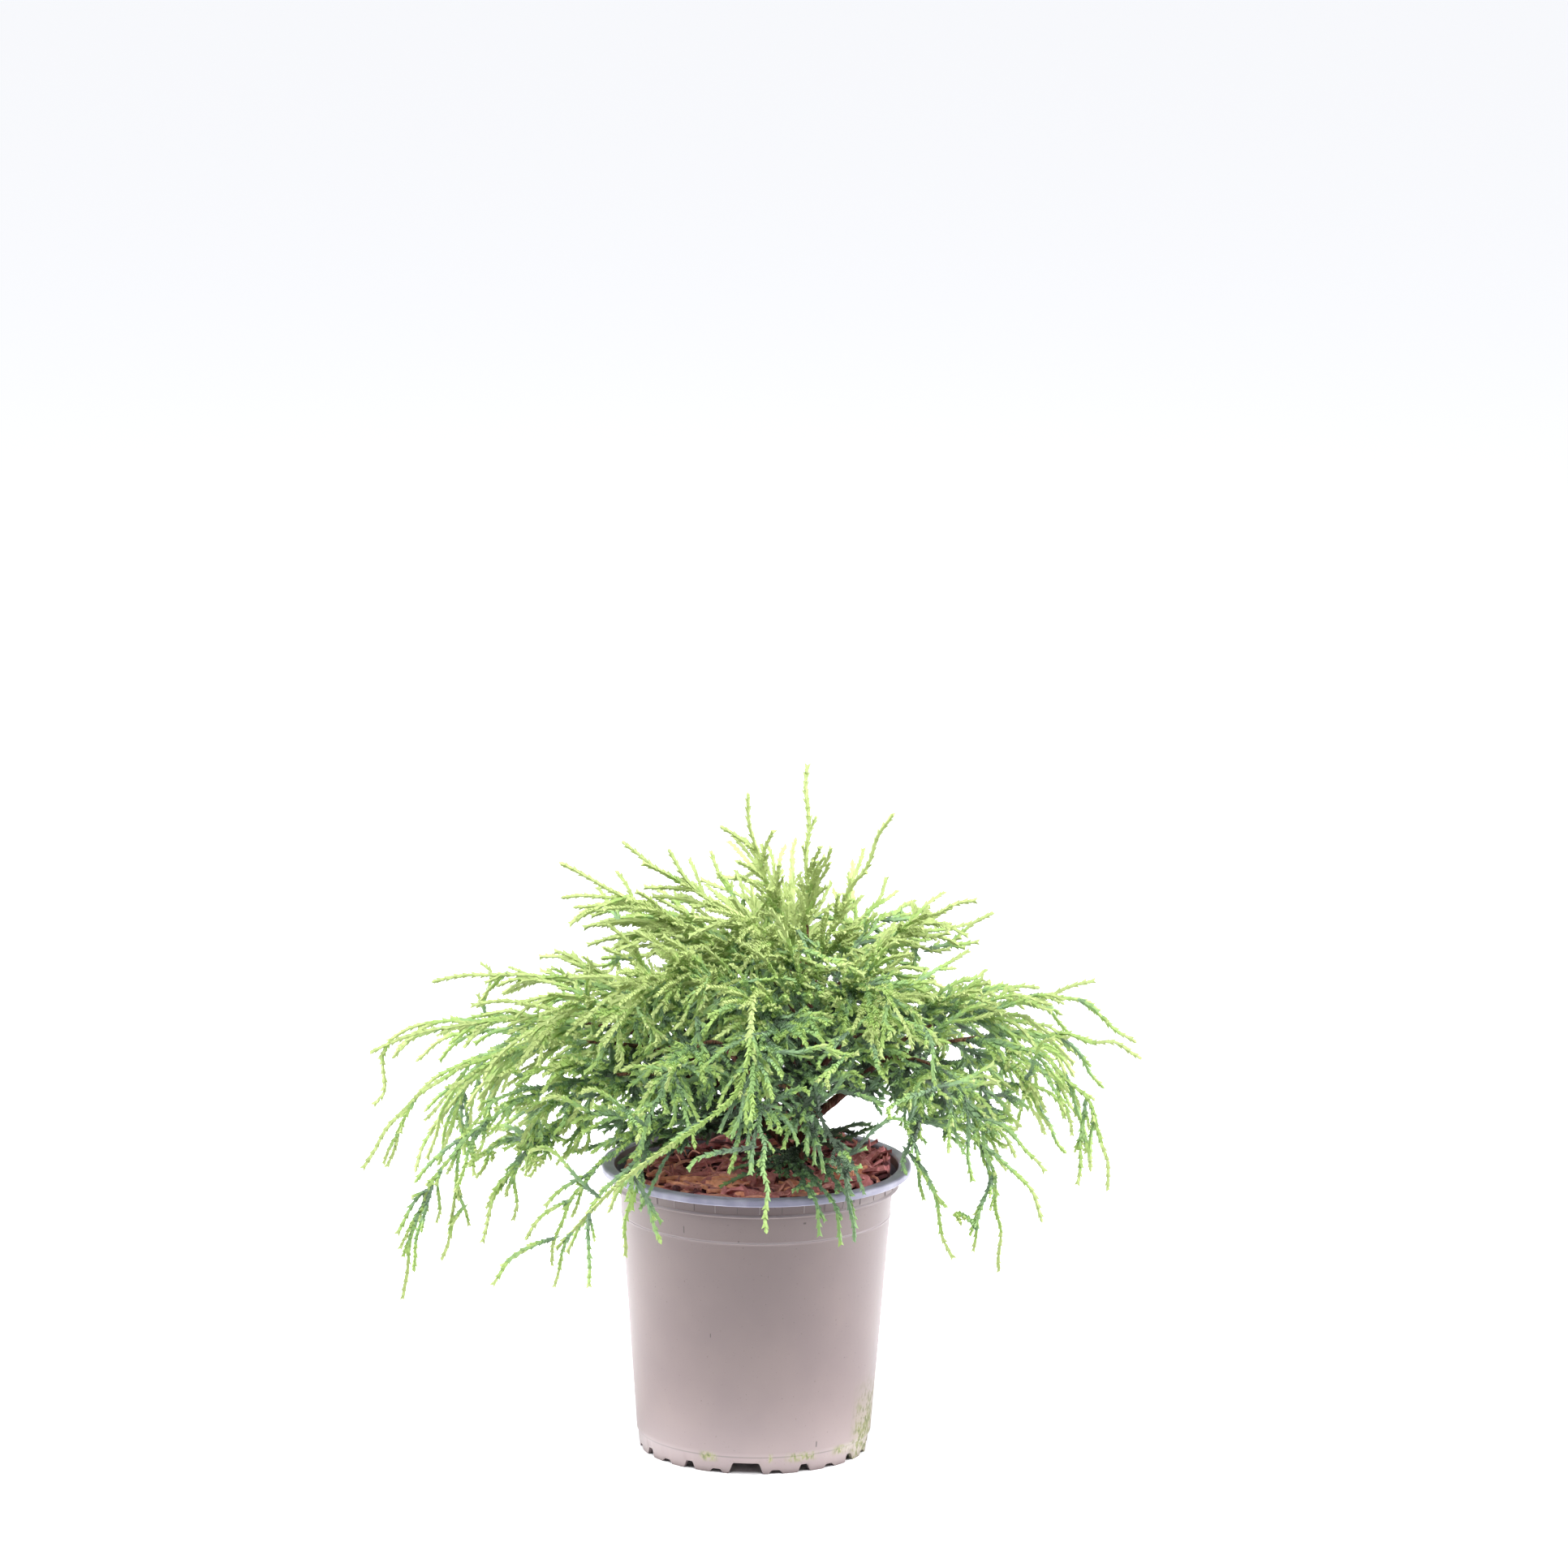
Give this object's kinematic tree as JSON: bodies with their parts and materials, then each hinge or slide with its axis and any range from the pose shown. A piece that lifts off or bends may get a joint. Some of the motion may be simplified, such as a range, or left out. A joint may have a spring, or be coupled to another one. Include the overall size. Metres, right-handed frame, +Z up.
{
  "type": "potted sungold sawara cypress",
  "caption": "Young golden thread-leaved conifer, low and weeping, in a round plastic nursery pot with a bark mulch.",
  "frame": {"origin": "on the ground, under the centre of the pot", "axes": "+Z up, -Y towards the side that the picture shows, +X to the right in the picture and along the crown's widest spread"},
  "size_m": [0.469, 0.4249, 0.425],
  "materials": {
    "pot_plastic": "satin",
    "compost": "matte",
    "bark": "matte",
    "wood": "matte",
    "foliage": "satin"
  },
  "bodies": {
    "root": {"back_left": "foliage", "back_left_bough": "wood", "back_middle": "foliage", "back_right": "foliage", "back_right_bough": "wood", "back_stem": "wood", "bark_mulch": "bark", "front_drape": "foliage", "front_drape_bough": "wood", "front_low": "foliage", "front_low_bough": "wood", "front_right": "foliage", "front_right_bough": "wood", "front_spray": "foliage", "front_stem": "wood", "inner_back": "foliage", "inner_front": "foliage", "inner_left": "foliage", "inner_right": "foliage", "leader": "foliage", "left_back": "foliage", "left_back_bough": "wood", "left_high": "foliage", "left_low": "foliage", "left_low_bough": "wood", "left_middle": "foliage", "left_middle_bough": "wood", "left_stem": "wood", "left_weeping": "foliage", "left_weeping_bough": "wood", "middle_front": "foliage", "middle_front_bough": "wood", "middle_left": "foliage", "middle_left_bough": "wood", "middle_right": "foliage", "middle_right_bough": "wood", "pot": "pot_plastic", "right_back": "foliage", "right_back_bough": "wood", "right_high": "foliage", "right_low": "foliage", "right_low_bough": "wood", "right_middle": "foliage", "right_middle_bough": "wood", "right_stem": "wood", "right_weeping": "foliage", "right_weeping_bough": "wood", "root_ball": "compost", "top_back": "foliage", "top_front": "foliage", "top_left": "foliage", "top_middle": "foliage", "top_right": "foliage", "trunk": "wood", "upper_back_left": "foliage", "upper_back_right": "foliage", "upper_front_left": "foliage", "upper_front_right": "foliage", "upper_left": "foliage", "upper_right": "foliage"}
  },
  "joints": []
}
